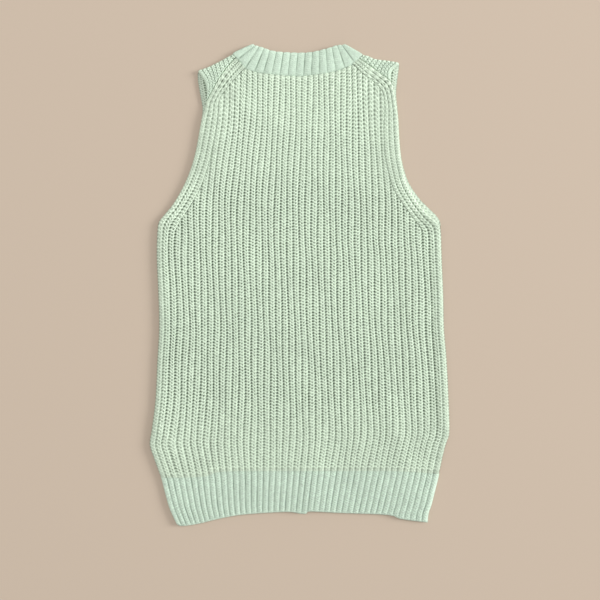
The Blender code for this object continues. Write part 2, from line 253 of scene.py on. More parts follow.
def slipped(rib, row):
    """How far, in courses, the ribs have slipped along each other: two slow waves, none at the hem."""
    waves = 0.21 * np.sin(1.9 * rib + 0.05 * row) + 0.13 * np.sin(3.7 * rib - 0.083 * row + 2.0)
    return waves * np.clip(row / 8, 0, 1)


def fisherman_relief(rib, row):
    """How thick the knit is, in millimetres: across a rib two legs stand up either side of a shallow
    middle, with a deep groove between ribs, and along it a cosine of the slanted course. The dip and the
    groove are powers of how far the place is from the legs' tops, and every stitch is a little uneven."""
    spread = np.abs(2 * (rib % 1) - 1)
    dip = MIDDLE_DIP * (1 - spread / 0.5) ** 2 * (spread < 0.5)
    groove = GROOVE_DEPTH * np.clip((spread - 0.5) / 0.5, 0, 1) ** 2.2
    slanted = row - SLANT * spread
    ripple = np.cos(2 * np.pi * slanted) * (0.14 + 0.06 * spread)
    uneven = each_stitch(rib, slanted + 0.5, STITCH_SPREAD, 11)
    return KNIT_HEIGHT * (1 - dip - groove + ripple * (1 + 3 * uneven) + uneven)


def faces_of(corner, flip_at):
    """Two triangles for each cell of a grid of corner numbers, cut the other way where flip_at says."""
    a, b, c, d = corner[:-1, :-1], corner[:-1, 1:], corner[1:, 1:], corner[1:, :-1]
    flip = np.broadcast_to(flip_at, a.shape)
    first = np.where(flip[..., None], np.stack([a, b, d], -1), np.stack([a, b, c], -1))
    second = np.where(flip[..., None], np.stack([b, c, d], -1), np.stack([a, c, d], -1))
    return np.concatenate([first.reshape(-1, 3), second.reshape(-1, 3)])


def rim_of(merged, coarse):
    """Triangles down from the outer side's edge to the coarser inner side's edge: a fan from each inner
    corner to the outer points up to the next one, and one triangle that closes it. Inner corners are
    given as the negative of the outer ones' numbers, less one."""

    def round_edge(grid):
        """The corners round the grid's edge in order, each once."""
        way = np.concatenate([grid[0, :-1], grid[:-1, -1], grid[-1, :0:-1], grid[:0:-1, 0]])
        return way[way != np.roll(way, 1)]

    edge = round_edge(merged)
    kept = np.isin(edge, round_edge(coarse))
    first = int(np.argmax(kept))
    edge, kept = np.roll(edge, -first), np.roll(kept, -first)
    after = np.roll(edge, -1)
    holder = edge[np.maximum.accumulate(np.where(kept, np.arange(len(edge)), 0))]
    closing = np.roll(kept, -1)
    fan = np.stack([after, edge, -1 - holder], -1)
    close = np.stack([after, -1 - holder, -1 - after], -1)[closing]
    return np.concatenate([fan, close])


def ring_rim(line, every):
    """The same fan and closing triangles as rim_of for one edge of a ring."""
    start, stop = line[:-1], line[1:]
    holder = start[np.arange(len(start)) // every * every]
    fan = np.stack([stop, start, -1 - holder], -1)
    close = np.stack([stop, -1 - holder, -1 - stop], -1)[every - 1 :: every]
    return np.concatenate([fan, close])


def knit_piece(name, outer, inner, stitches, values, material, merged=None, every=(6, 5), ring=False):
    """A closed sheet of knit from two grids of points in millimetres: a fine outer side, an inner side
    that keeps one row and one column in so many, and a rim. merged gives for each corner the number of
    the corner that stands for it, where ribs end. stitches is the rib and course at each corner."""
    rows, columns = outer.shape[:2]
    corner = np.arange(rows * columns).reshape(rows, columns)
    merged = corner.copy() if merged is None else merged
    if ring:
        merged[:, -1] = merged[:, 0]
    half = (stitches[:-1, :-1, 0] + stitches[1:, 1:, 0]) / 2 % 1 > 0.5
    step = (slice(None, None, every[0]), slice(None, None, every[1]))
    outside, inside = faces_of(corner, half), faces_of(corner[step], False)[:, ::-1]
    if ring:
        rim = np.concatenate([ring_rim(line, every[1]) for line in (merged[0], merged[-1, ::-1])])
    else:
        rim = rim_of(merged, merged[step])
    flat = merged.ravel()
    number = np.concatenate([flat[outside], -1 - flat[inside], rim])
    real = (number[:, 0] != number[:, 1]) & (number[:, 1] != number[:, 2]) & (number[:, 2] != number[:, 0])
    used, triangles = np.unique(number[real], return_inverse=True)
    triangles = triangles.reshape(-1, 3)
    rim_corner = np.where(rim < 0, -1 - rim, rim)
    chart = stitches.reshape(-1, 2)[np.concatenate([outside, inside, rim_corner])[real]]
    place = np.where(used < 0, -1 - used, used)
    points = np.where((used < 0)[:, None], inner.reshape(-1, 3)[place], outer.reshape(-1, 3)[place])
    lift = (outer - inner).reshape(-1, 3)[outside[:, 0]]
    a, b, c = (outer.reshape(-1, 3)[flat[outside[:, k]]] for k in range(3))
    if (np.cross(b - a, c - a) * lift).sum() < 0:
        triangles, chart = triangles[:, ::-1], chart[:, ::-1]

    mesh = bpy.data.meshes.new(name)
    mesh.vertices.add(len(points))
    mesh.vertices.foreach_set("co", (points * MM).astype(np.float32).ravel())
    mesh.loops.add(triangles.size)
    mesh.loops.foreach_set("vertex_index", triangles.astype(np.int32).ravel())
    mesh.polygons.add(len(triangles))
    mesh.polygons.foreach_set("loop_start", np.arange(0, triangles.size, 3, dtype=np.int32))
    mesh.update(calc_edges=True)
    mesh.uv_layers.new(name="stitches").uv.foreach_set("vector", chart.astype(np.float32).ravel())
    for value, grid in values.items():
        attribute = mesh.attributes.new(value, "FLOAT", "POINT")
        attribute.data.foreach_set("value", grid.ravel()[place].astype(np.float32))
    mesh.shade_smooth()
    mesh.materials.append(material)
    made = bpy.data.objects.new(name, mesh)
    bpy.context.scene.collection.objects.link(made)
    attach(made, "root")
    return made


def joined(tree, kind, settings=None, **sockets):
    """A node with its settings made and its sockets filled: each takes a number, a colour or a link."""
    node = tree.nodes.new(kind)
    for setting, value in (settings or {}).items():
        setattr(node, setting, value)
    for socket, value in sockets.items():
        key = int(socket[1:]) if socket[0] == "i" and socket[1:].isdigit() else socket.replace("_", " ")
        if isinstance(value, bpy.types.NodeSocket):
            tree.links.new(value, node.inputs[key])
        else:
            node.inputs[key].default_value = value
    return node


def calc(tree, operation, *values):
    """The result of a Math node on two or three numbers or links."""
    sockets = {f"i{k}": value for k, value in enumerate(values)}
    return joined(tree, "ShaderNodeMath", {"operation": operation}, **sockets).outputs[0]


def ramp(tree, value, start, end):
    """0 where the value is at start and 1 where it is at end, eased between them."""
    settings = {"interpolation_type": "SMOOTHSTEP"}
    node = joined(tree, "ShaderNodeMapRange", settings, Value=value, From_Min=start, From_Max=end)
    return node.outputs["Result"]


def dice(tree, column, row):
    """A steady random value from 0 to 1 for each cell of a grid."""
    cell = joined(tree, "ShaderNodeCombineXYZ", X=column, Y=row)
    noise = joined(tree, "ShaderNodeTexWhiteNoise", {"noise_dimensions": "2D"}, Vector=cell.outputs[0])
    return noise.outputs["Value"]


def blend_colour(tree, blend_type, share, first, second):
    """Two colours blended by their share of the second."""
    node = tree.nodes.new("ShaderNodeMix")
    node.data_type = "RGBA"
    node.blend_type = blend_type
    for key, value in ((0, share), (6, first), (7, second)):
        if isinstance(value, bpy.types.NodeSocket):
            tree.links.new(value, node.inputs[key])
        else:
            node.inputs[key].default_value = value
    return node.outputs[2]


def new_group(name, inputs, outputs):
    """An empty shader node group with these sockets, and its input and output nodes."""
    group = bpy.data.node_groups.new(name, "ShaderNodeTree")
    for socket, kind in inputs:
        group.interface.new_socket(socket, in_out="INPUT", socket_type=f"NodeSocket{kind}")
    for socket, kind in outputs:
        group.interface.new_socket(socket, in_out="OUTPUT", socket_type=f"NodeSocket{kind}")
    return group, group.nodes.new("NodeGroupInput"), group.nodes.new("NodeGroupOutput")


def stitch_group():
    """Where the legs of the V stitches are and the gaps between them. The course phase falls by Slant
    from a rib's middle to its sides, so each course is a row of Vs. A leg is a cosine of the phase. Gaps
    lie half-way between courses, as uneven holes in the grooves and small eyes in the ribs' middles, and
    the grooves have a gutter that comes and goes slowly along them. The first output is painted shade: the
    share of the shadow colour painted into these holes, eyes, gutters and the creases between courses."""
    group, given, put = new_group(
        "v_stitches",
        (
            ("Stitches", "Vector"),
            ("Slant", "Float"),
            ("Groove", "Float"),
            ("Gutter", "Float"),
            ("Middle", "Float"),
            ("Crease", "Float"),
        ),
        (("Gap", "Float"), ("Leg", "Float"), ("Twist", "Float")),
    )
    place = joined(group, "ShaderNodeSeparateXYZ", Vector=given.outputs["Stitches"])
    across = calc(group, "FRACT", place.outputs["X"])
    spread = calc(group, "ABSOLUTE", calc(group, "MULTIPLY_ADD", across, 2.0, -1.0))
    drop = calc(group, "MULTIPLY", spread, given.outputs["Slant"])
    phase = calc(group, "SUBTRACT", place.outputs["Y"], drop)
    turn = calc(group, "COSINE", calc(group, "MULTIPLY", phase, 2 * np.pi))
    between = calc(group, "MULTIPLY_ADD", turn, -0.5, 0.5)
    course = calc(group, "FLOOR", phase)
    groove = calc(group, "FLOOR", calc(group, "ADD", place.outputs["X"], 0.5))
    groove_luck = dice(group, groove, course)
    rib_luck = dice(group, calc(group, "FLOOR", place.outputs["X"]), course)
    wide = calc(group, "MULTIPLY_ADD", groove_luck, 0.18, 0.42)
    hole = calc(group, "MULTIPLY", ramp(group, spread, wide, 0.82), ramp(group, between, 0.2, 0.75))
    hole = calc(group, "MULTIPLY", hole, calc(group, "MULTIPLY_ADD", rib_luck, 0.4, 0.75))
    eye = calc(group, "MULTIPLY", ramp(group, spread, 0.36, 0.1), ramp(group, between, 0.35, 0.8))
    eye = calc(group, "MULTIPLY", eye, calc(group, "MULTIPLY_ADD", rib_luck, 0.5, 0.65))
    along, down = calc(group, "MULTIPLY", groove, 1.7), calc(group, "MULTIPLY", course, 0.12)
    grain = joined(group, "ShaderNodeCombineXYZ", X=along, Y=down).outputs[0]
    slow = joined(group, "ShaderNodeTexNoise", {"noise_dimensions": "2D"}, Vector=grain, Scale=1.0)
    uneven = calc(group, "MULTIPLY_ADD", slow.outputs["Fac"], 2.0, -0.05)
    gutter = calc(group, "MULTIPLY", ramp(group, spread, 0.74, 1.0), uneven)
    gap_shade = calc(group, "MULTIPLY", between, given.outputs["Crease"])
    for part, share in ((hole, "Groove"), (gutter, "Gutter"), (eye, "Middle")):
        gap_shade = calc(group, "MAXIMUM", gap_shade, calc(group, "MULTIPLY", part, given.outputs[share]))
    group.links.new(gap_shade, put.inputs["Gap"])
    group.links.new(calc(group, "MULTIPLY_ADD", turn, 0.5, 0.5), put.inputs["Leg"])
    strand = calc(group, "MULTIPLY_ADD", spread, 9.0, calc(group, "MULTIPLY", phase, 6.0))
    twist = calc(group, "SINE", calc(group, "MULTIPLY", strand, 2 * np.pi / 3))
    group.links.new(twist, put.inputs["Twist"])
    return group


def yarn_group():
    """Soft heathered yarn: a base colour made lighter and darker by flecks at fibre size, patches at
    stitch size, a broad unevenness and the given tone, which in places is painted shade, with the shadow
    colour painted into gaps as painted shade. Its height is the fuzz."""
    group, given, put = new_group(
        "soft_yarn",
        (
            ("Place", "Vector"),
            ("Base", "Color"),
            ("Shadow", "Color"),
            ("Gap", "Float"),
            ("Pale", "Float"),
            ("Fleck", "Float"),
        ),
        (("Colour", "Color"), ("Fuzz", "Float")),
    )
    place = given.outputs["Place"]
    fine, middling, broad = (
        joined(group, "ShaderNodeTexNoise", Vector=place, Scale=scale, Detail=detail).outputs["Fac"]
        for scale, detail in ((720.0, 3.0), (230.0, 1.0), (14.0, 2.0))
    )
    swell = calc(group, "MULTIPLY", calc(group, "SUBTRACT", broad, 0.5), 0.16)
    swell = calc(group, "MULTIPLY_ADD", calc(group, "SUBTRACT", middling, 0.5), 0.3, swell)
    tone = calc(group, "MULTIPLY_ADD", calc(group, "SUBTRACT", fine, 0.5), given.outputs["Fleck"], swell)
    tone = calc(group, "ADD", calc(group, "ADD", tone, given.outputs["Pale"]), 1.0)
    grey = joined(group, "ShaderNodeCombineColor", Red=tone, Green=tone, Blue=tone)
    lit = blend_colour(group, "MULTIPLY", 1.0, given.outputs["Base"], grey.outputs[0])
    colour = blend_colour(group, "MIX", given.outputs["Gap"], lit, given.outputs["Shadow"])
    group.links.new(colour, put.inputs["Colour"])
    group.links.new(fine, put.inputs["Fuzz"])
    return group


V_STITCHES = stitch_group()
SOFT_YARN = yarn_group()


def knit_material(name, base, shadow, slant, gaps, fleck, leg=1.6, twist=0.25, bump=0.0009):
    """A knitted finish: gaps from the stitch chart, painted with the shadow colour as painted shade,
    colour from the yarn, and both in the bump. openness and the yarn's tone, painted shade on the front,
    are values carried by the mesh."""
    made = bpy.data.materials.new(name)
    made.use_nodes = True
    tree = made.node_tree
    shader = tree.nodes["Principled BSDF"]
    chart = tree.nodes.new("ShaderNodeUVMap")
    chart.uv_map = "stitches"
    place = tree.nodes.new("ShaderNodeTexCoord")
    openness = joined(tree, "ShaderNodeAttribute", {"attribute_name": "openness"})
    tone_and_shade = joined(tree, "ShaderNodeAttribute", {"attribute_name": "tone_and_shade"})
    stitches = joined(
        tree,
        "ShaderNodeGroup",
        {"node_tree": V_STITCHES},
        Stitches=chart.outputs["UV"],
        Slant=slant,
        Groove=gaps.groove,
        Gutter=gaps.gutter,
        Middle=gaps.middle,
        Crease=gaps.crease,
    )
    gap_shade = calc(tree, "MULTIPLY", stitches.outputs["Gap"], openness.outputs["Fac"])
    yarn = joined(
        tree,
        "ShaderNodeGroup",
        {"node_tree": SOFT_YARN},
        Place=place.outputs["Object"],
        Base=(*base, 1.0),
        Shadow=(*shadow, 1.0),
        Gap=gap_shade,
        Pale=tone_and_shade.outputs["Fac"],
        Fleck=fleck,
    )
    twisted = calc(tree, "MULTIPLY_ADD", stitches.outputs["Twist"], twist, yarn.outputs["Fuzz"])
    legs = calc(tree, "MULTIPLY", stitches.outputs["Leg"], openness.outputs["Fac"])
    height = calc(tree, "MULTIPLY_ADD", legs, leg, twisted)
    relief = joined(tree, "ShaderNodeBump", Height=height, Distance=bump, Strength=1.0)
    tree.links.new(yarn.outputs["Colour"], shader.inputs["Base Color"])
    tree.links.new(relief.outputs["Normal"], shader.inputs["Normal"])
    shader.inputs["Roughness"].default_value = 0.95
    shader.inputs["Specular IOR Level"].default_value = 0.25
    shader.inputs["Sheen Weight"].default_value = 0.12
    shader.inputs["Sheen Roughness"].default_value = 0.6
    return made


# How strongly each kind of gap is painted with the shadow colour, as painted shade: holes in the grooves,
# the grooves' gutter, eyes in the ribs' middles and creases between courses.
Gaps = namedtuple("Gaps", "groove gutter middle crease")

PANEL_YARN = knit_material(
    "fisherman_rib_knit",
    base=(0.740, 0.888, 0.708),
    shadow=(0.085, 0.130, 0.075),
    slant=SLANT,
    gaps=Gaps(groove=1.0, gutter=0.52, middle=0.9, crease=0.03),
    fleck=0.5,
    leg=1.1,
)

# Columns of corners to a rib and rows to a course.
CELLS, ROWS = 5, 3
BACK_COURSES = 132
NECK_BEND_FROM = 205.0
HEM_BEND_TO = -120.0
EDGE_ROLL = 3.6
# The side edge turns into the armhole, and the armhole into the shoulder seam, over this much height.
ARMHOLE_FROM, SHOULDER_FROM, CORNER_RUN = 84.0, 283.0, 14.0
# The smooth edge of the border, in ribs: as wide as this, and easing off over that.
SELVEDGE, SELVEDGE_RUN = 0.3, 0.2
SELVEDGE_EVEN = 0.8
BACK_EDGE_WALL, FRONT_EDGE_WALL = 3.4, 3.2
UNDERARM, UNDERARM_REACH = Point(198, 98), 24.0


def bent_rows(low, high, rows, x):
    """Heights of evenly spaced courses between two seams: level in the middle of the panel, and easing
    into each seam's own line towards it."""
    share = np.linspace(0, 1, rows)[:, None]
    base_low, base_high = level_of(low, 0.0), level_of(high, 0.0)
    level = base_low + (base_high - base_low) * share
    to_low = eased((HEM_BEND_TO - level) / (HEM_BEND_TO - base_low))
    to_high = eased((level - NECK_BEND_FROM) / (base_high - NECK_BEND_FROM))
    return level + (level_of(low, x) - base_low) * to_low + (level_of(high, x) - base_high) * to_high


def crossing(lines, low, high, rows):
    """Where each course meets a border's inner line, and the edge's point at the same step along."""
    fine = through(lines, 16)
    edge, inner = fine[:, :2], fine[:, 2:]
    above = inner[None, :, 1] - bent_rows(low, high, rows, inner[None, :, 0])
    step = np.clip((above >= 0).argmax(axis=1), 1, len(inner) - 1)
    step[0], step[-1] = 1, len(inner) - 1
    row = np.arange(rows)
    before, after = above[row, step - 1], above[row, step]
    t = np.clip(-before / (after - before), 0, 1)
    t[0], t[-1] = 0, 1
    t = t[:, None]
    return [(1 - t) * line[step - 1] + t * line[step] for line in (inner, edge)]


def panel_plan(low, high, courses, left, right):
    """The panel in plan. Each course is a row that runs level between the two inner lines and square
    across the border ribs. Gives points, ribs and the corner that stands for each one past a rib's end."""
    rows, columns = ROWS * courses + 1, RIBS * CELLS + 1
    border, row = BORDER_RIBS * CELLS, np.arange(rows)
    plain = np.broadcast_to(np.arange(columns) / CELLS, (rows, columns))
    level = np.linspace(level_of(low, 0.0), level_of(high, 0.0), rows)[:, None]
    x = rib_place(plain, bent_rows(low, high, rows, rib_place(plain, level)))
    ends = []
    for lines in (left, right):
        inner, edge = crossing(lines, low, high, rows)
        passed = (x < inner[:, :1]).sum(axis=1) - 1
        run = x[row, passed + 1] - x[row, passed]
        ends.append((inner, edge, ((passed + (inner[:, 0] - x[row, passed]) / run) / CELLS)[:, None]))
    (inner_l, edge_l, rib_l), (inner_r, edge_r, rib_r) = ends
    rib = np.clip(plain, rib_l, rib_r)
    y = bent_rows(low, high, rows, rib_place(rib, level))
    x = rib_place(rib, y)
    points = np.stack([x, bent_rows(low, high, rows, x)], -1)
    share = np.linspace(0, 1, border + 1)[None, :, None]
    far = columns - 1 - border
    points[:, : border + 1] = (1 - share) * edge_l[:, None] + share * inner_l[:, None]
    points[:, far:] = (1 - share) * inner_r[:, None] + share * edge_r[:, None]
    rib[:, : border + 1] = share[..., 0] * BORDER_RIBS
    rib[:, far:] = RIBS - BORDER_RIBS + share[..., 0] * BORDER_RIBS
    column = np.broadcast_to(np.arange(columns), (rows, columns))
    stands = np.where((column > border) & (plain <= rib_l), border, column)
    stands = np.where((column < far) & (plain >= rib_r), far, stands)
    return points, rib, row[:, None] * columns + stands


def slanted(points, rib, row, course, slant, border=0):
    """Moves each rib's sides up its own direction by the slant, which turns a row into Vs, less so in the
    first and last course."""
    ahead = np.gradient(points, axis=0)
    ahead /= np.maximum(np.linalg.norm(ahead, axis=-1, keepdims=True), 1e-9)
    ahead[:, border : ahead.shape[1] - border] = (0.0, 1.0)
    last = row.max()
    fade = np.clip(np.minimum(row, last - row) / 1.0, 0, 1)
    rise = slant * np.abs(2 * (rib % 1) - 1) * course * fade
    return points + rise[..., None] * ahead


def edge_distance(points):
    """How far each point of a row is from the nearer end of it."""
    left = np.linalg.norm(points - points[:, :1], axis=-1)
    right = np.linalg.norm(points - points[:, -1:], axis=-1)
    return np.minimum(left, right)


def rolled(distance, reach):
    """The share of the wall left near an edge: a quarter circle over the reach."""
    return np.sqrt(1 - (1 - np.clip(distance / reach, 0.04, 1)) ** 2)


def evened(wall, share, level):
    """The wall with this share of its relief evened out to one level."""
    return wall * (1 - share) + share * level


def edge_border(rib, y):
    """How far from the nearer side the place is in ribs, the share of the armhole in the side edge
    there, and the selvedge's share along the armholes."""
    border = np.minimum(rib, RIBS - rib)
    armhole = eased((y - ARMHOLE_FROM) / CORNER_RUN)
    return border, armhole, armhole * (1 - eased((border - SELVEDGE) / SELVEDGE_RUN))


def back_tones(x, y, rib, row, away):
    """How open the gaps are and the yarn's tone. Gaps close up along the edges, by the armholes, over the
    front's neckband, towards the neck and the hem, and in the first and last courses. They open in the
    border along the shoulders. The yarn is a little lighter over the front's neckband and darker near the
    armholes, along the sides below them, in the first courses and towards the hem."""
    border, armhole, selvedge = edge_border(rib, y)
    seamed = eased((y - SHOULDER_FROM) / CORNER_RUN)
    selvedge = selvedge * (1 - 0.6 * seamed)
    on_band = over_front_band(x, y)
    near_arm = armhole * eased((60 - away) / 40) * eased((y - 120) / 60)
    bordered = 1 - eased((border - BORDER_RIBS) / 0.3)
    side = (1 - armhole) * (1 - eased((border - 0.9) / 0.5))
    first = 1 - eased(row / 1.8)
    last = eased(row - (BACK_COURSES - 1.8))
    openness = 1 - 0.3 * near_arm * (1 - seamed) - 0.12 * on_band - 0.18 * eased((y - 120) / 60)
    openness = openness * (1 - 0.4 * selvedge) * (1 - 0.4 * side) * (1 - 0.2 * armhole * bordered)
    openness = openness * (1 - 0.6 * last) * (1 - 0.5 * first) * (1 - 0.3 * eased((-150 - y) / 100))
    openness = openness + 0.2 * seamed * bordered * eased((316 - y) / 18)
    tone_and_shade = 0.02 * on_band - 0.12 * near_arm * (1 - 0.8 * seamed) - 0.12 * side - 0.07 * first
    tone_and_shade = tone_and_shade - 0.03 * eased(-y / 80) - 0.06 * eased((-160 - y) / 80)
    return {"openness": openness, "tone_and_shade": tone_and_shade}


def back_panel():
    """The plan with its rows turned into Vs and its ribs wavering a little from side to side. The inner
    side is the front's thickness up, plus the rise of the top layer, and the wall is the knit's relief,
    with a quarter-round roll at the edges."""
    plan, rib, merged = panel_plan(HEM_SEAM, BACK_NECK_SEAM, BACK_COURSES, BACK_LEFT, BACK_RIGHT)
    row = np.broadcast_to(np.linspace(0, BACK_COURSES, plan.shape[0])[:, None], rib.shape)
    away = edge_distance(plan)
    plan = slanted(plan, rib, row, COURSE, SLANT, BORDER_RIBS * CELLS)
    plan[..., 0] += 0.6 * np.sin(0.19 * row + 1.1 * rib) * eased((away - 12) / 12)
    chart_row = row + SLANT * np.abs(2 * (rib % 1) - 1) + slipped(rib, row)
    x, y = plan[..., 0], plan[..., 1]
    seamed = eased((y - SHOULDER_FROM) / CORNER_RUN)
    selvedge = edge_border(rib, y)[2] * (1 - 0.6 * seamed)
    wall = evened(fisherman_relief(rib, chart_row), SELVEDGE_EVEN * selvedge, BACK_EDGE_WALL)
    wall = wall * rolled(away + 1.6 * seamed, EDGE_ROLL)
    underarm = np.exp(-((x - UNDERARM.x) ** 2 + (y - UNDERARM.y) ** 2) / UNDERARM_REACH**2)
    under = PANEL_WALL + GAP + top_layer_rise(x, y) * np.maximum(eased(away / 9), underarm)
    outer = np.dstack([plan, under + wall])
    inner = np.dstack([plan, under])
    stitches = np.dstack([rib, chart_row])
    tones = back_tones(x, y, rib, row, away)
    made = knit_piece("back_panel_knit", outer, inner, stitches, tones, PANEL_YARN, merged)
    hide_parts("back_panel")
    return made


back = back_panel()

# ---- Hem ribs ---------------------------------------------------------------------------------------
# Each panel ends in a hem of close single rib, knitted on finer stitches from the same ribs and drawn in
# a little down both slits. Its lower edge is the cast-on, and its slit edges are smooth selvedges.

HEM_COURSES = 18
HEM_SLANT = 0.8
HEM_HEIGHT, HEM_SUNK = 3.3, 0.45
HEM_EDGE = (
    Point(-181.5, -354),
    Point(-173, -356.2),
    Point(-150, -353),
    Point(-115, -344.5),
    Point(-80, -339),
    Point(-20, -335.5),
    Point(2, -338),
    Point(11, -337.5),
    Point(16, -334.5),
    Point(60, -337),
    Point(130, -340),
    Point(150, -346),
    Point(188, -351),
)
HEM_MIDDLE = (-337, -275)
HEM_EDGE_WALL, HEM_EDGE_EVEN = 3.0, 0.7
HEM_YARN = knit_material(
    "single_rib_knit",
    base=(0.620, 0.770, 0.635),
    shadow=(0.180, 0.265, 0.195),
    slant=HEM_SLANT,
    gaps=Gaps(groove=0.45, gutter=0.75, middle=0.45, crease=0.1),
    fleck=0.9,
    leg=0.7,
)


def single_rib_relief(rib, row):
    """How thick the hem is: a rounded knit rib and a narrow sunken one in turn, hardly rippled. The sunken
    part is a power of how far the place is past the rib's level middle."""
    spread = np.abs(2 * (rib % 1) - 1)
    ripple = 0.04 * np.cos(2 * np.pi * (row - HEM_SLANT * spread))
    sunken = HEM_SUNK * np.clip((spread - 0.35) / 0.65, 0, 1) ** 1.7
    return HEM_HEIGHT * (1 - sunken + ripple + each_stitch(rib, row, 0.02, 5))


def hem_rib(name, node, underside, facing):
    """The hem's corners lie where its ribs cross lines that ease from the lower edge to the seam. As each
    depends on the other, they are found by turns."""
    rows, columns = ROWS * HEM_COURSES + 1, RIBS * CELLS + 1
    rib = np.broadcast_to(np.arange(columns) / CELLS, (rows, columns))
    share = np.linspace(0, 1, rows)[:, None]
    y = np.linspace(*HEM_MIDDLE, rows)[:, None]
    for _ in range(3):
        x = rib_place(rib, y)
        y = (1 - share) * level_of(HEM_EDGE, x) + share * (level_of(HEM_SEAM, x) - GAP / 2)
    row = np.broadcast_to(share * HEM_COURSES, rib.shape)
    away = edge_distance(np.dstack([x, y]))
    below = y - y[:1]
    edge = np.maximum(1 - eased((away - 3.0) / 3.0), 1 - eased((below - 1.5) / 1.5))
    wall = evened(single_rib_relief(rib, row), HEM_EDGE_EVEN * edge, HEM_EDGE_WALL)
    wall = wall * rolled(away, EDGE_ROLL) * rolled(below + 0.2, 2.4)
    under = underside(x, y)
    outer = np.dstack([x, y, under + facing * wall])
    inner = np.dstack([x, y, under])
    values = {"openness": 1 - 0.75 * edge, "tone_and_shade": 0.03 * edge}
    made = knit_piece(name, outer, inner, np.dstack([rib, row]), values, HEM_YARN)
    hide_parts(node)
    return made


def back_under(x, y):
    """How high the back hem's inner side is: on the front, with the rise of the top layer."""
    return PANEL_WALL + GAP + top_layer_rise(x, y)


def front_inside(x, y):
    """How high the front hem's inner side is: level everywhere, a wall above the floor."""
    return np.full(x.shape, PANEL_WALL)


back_hem = hem_rib("back_hem_rib_knit", "back_hem_rib", back_under, 1.0)
front_hem = hem_rib("front_hem_rib_knit", "front_hem_rib", front_inside, -0.85)

# ---- Front panel ------------------------------------------------------------------------------------
# The front lies face down under the back, knitted the same way with a deep scooped neck. Its smooth inside
# shows along the armholes, and its two shoulder straps run on over the folds.

FRONT_COURSES = 136
OUT_OF_REACH = 1e3
FRONT_TOP = (
    Point(-152, 312.5),
    Point(-131, 321.7),
    Point(-105, 335.2),
    Point(-99.6, 337.8),
    Point(0, 336),
    Point(93.8, 336.9),
    Point(102, 334.8),
    Point(112, 330.8),
    Point(134, 327.7),
    Point(149, 325.2),
)
FRONT_LEFT = (
    *BACK_LEFT[:-7],
    Station(-143.4, 262, -118.5, 262),
    Station(-146.9, 282, -121, 283),
    Station(-149.9, 300, -124, 303),
    Station(-150.6, 313, -126, 324),
)
FRONT_RIGHT = (
    *BACK_RIGHT[:10],
    Station(208, 92, 179, 84),
    Station(202.5, 102, 174.5, 94),
    Station(191.5, 113, 168, 103),
    Station(178.5, 126, 157, 116),
    Station(162, 150, 140, 140),
    Station(153.6, 174, 131, 166),
    *BACK_RIGHT[16:19],
    Station(144.6, 262, 121, 262),
    Station(142.8, 282, 119, 283),
    Station(144.1, 300, 120, 304),
    Station(147.5, 325.3, 122, 329),
)


def neck_scoop(x):
    """How high the front's neckline is: it drops from the back neck seam's ends by the depth times
    1 - |s| to the power SCOOP_POWER, where s runs from -1 to 1. Past the ends it is out of reach."""
    start, end = BACK_NECK_SEAM[0], BACK_NECK_SEAM[-1]
    s = (x - (start.x + end.x) / 2) / ((end.x - start.x) / 2)
    level = start.y + (end.y - start.y) * (s + 1) / 2
    drop = FRONT_SEAM_DEPTH * (1 - np.minimum(np.abs(s), 1) ** SCOOP_POWER)
    return np.where(np.abs(s) < 1, level - drop, OUT_OF_REACH)


def front_panel():
    """Every column of corners ends where it meets the neckline, and its last corner there stands for the
    rest. The inside, which faces up, is level, and the relief is on the side that lies on the floor."""
    plan, rib, merged = panel_plan(HEM_SEAM, FRONT_TOP, FRONT_COURSES, FRONT_LEFT, FRONT_RIGHT)
    rows, columns = rib.shape
    row = np.broadcast_to(np.linspace(0, FRONT_COURSES, rows)[:, None], rib.shape)
    away = edge_distance(plan)
    plan = slanted(plan, rib, row, COURSE, SLANT, BORDER_RIBS * CELLS)
    over = plan[..., 1] - neck_scoop(plan[..., 0]) + GAP
    cut = np.where((over > 0).any(axis=0), (over > 0).argmax(axis=0), rows - 1)
    column = np.arange(columns)
    before, after = over[cut - 1, column], over[cut, column]
    t = np.where(after > 0, np.clip(-before / (after - before), 0, 1), 1)[:, None]
    plan[cut, column] = (1 - t) * plan[cut - 1, column] + t * plan[cut, column]
    merged = merged[np.minimum(np.arange(rows)[:, None], cut[None]), column[None]]
    chart_row = row + SLANT * np.abs(2 * (rib % 1) - 1)
    selvedge = edge_border(rib, plan[..., 1])[2]
    wall = evened(fisherman_relief(rib, chart_row), SELVEDGE_EVEN * selvedge, FRONT_EDGE_WALL)
    wall = np.minimum(wall * 0.78 * rolled(away, EDGE_ROLL), PANEL_WALL)
    inner = np.dstack([plan, np.full(rib.shape, PANEL_WALL)])
    outer = np.dstack([plan, PANEL_WALL - wall])
    # The front's yarn is made 0.12 darker all over: painted shade for its inside, which shows only in
    # shade beside the back's edges.
    values = {"openness": 1 - 0.6 * selvedge, "tone_and_shade": np.full(rib.shape, -0.12)}
    stitches = np.dstack([rib, chart_row])
    made = knit_piece("front_panel_knit", outer, inner, stitches, values, PANEL_YARN, merged)
    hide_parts("front_panel")
    return made


front = front_panel()

# ---- Shoulder wraps ---------------------------------------------------------------------------------
# The top of each front strap turns over the shoulder fold and lies on the back, down to the sloped
# shoulder seam. Its narrower ribs run square to the fold.

WRAP_RIBS = 8.5
WRAP_CELLS = 8
WRAP_TURN_ROWS, WRAP_FLAT_ROWS = 9, 21
WRAP_WALL = 3.1
